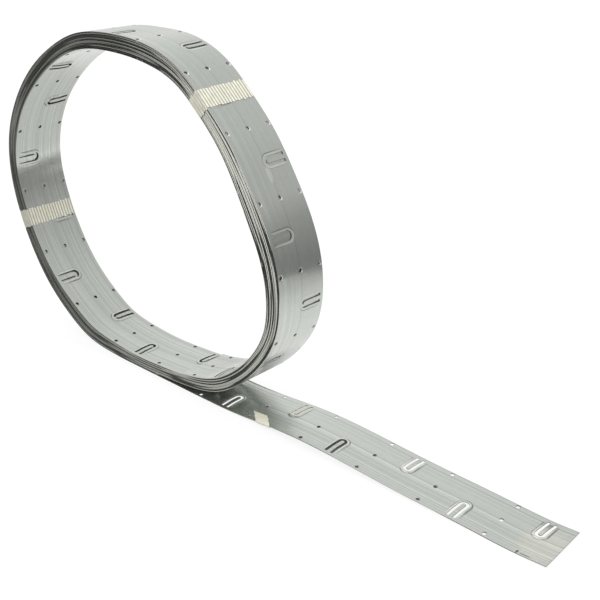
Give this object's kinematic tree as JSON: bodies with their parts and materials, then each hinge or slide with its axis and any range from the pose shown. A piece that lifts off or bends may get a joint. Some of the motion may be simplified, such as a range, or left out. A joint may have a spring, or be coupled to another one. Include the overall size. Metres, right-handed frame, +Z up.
{
  "type": "coil of punched steel fixing strip",
  "caption": "Coil of narrow galvanised steel fixing strip with punched cable tongues and nail holes, held by bands of tape, its outer end run out flat.",
  "frame": {"origin": "middle of the flat underside that the coil stands on, midway between the strip's edges", "axes": "+X along the floor towards the end of the tail, +Y along the coil's axis, +Z up"},
  "size_m": [0.5118, 0.043, 0.255],
  "materials": {
    "galvanised_strip": "galvanised, satin, with fine roll lines along the strip",
    "strapping_tape": "ribbed cream strapping tape, slightly clear"
  },
  "bodies": {
    "root": {"strip_coil": "galvanised_strip", "tape_band_upper": "strapping_tape", "tape_band_left": "strapping_tape", "tape_scrap": "strapping_tape"}
  },
  "joints": []
}
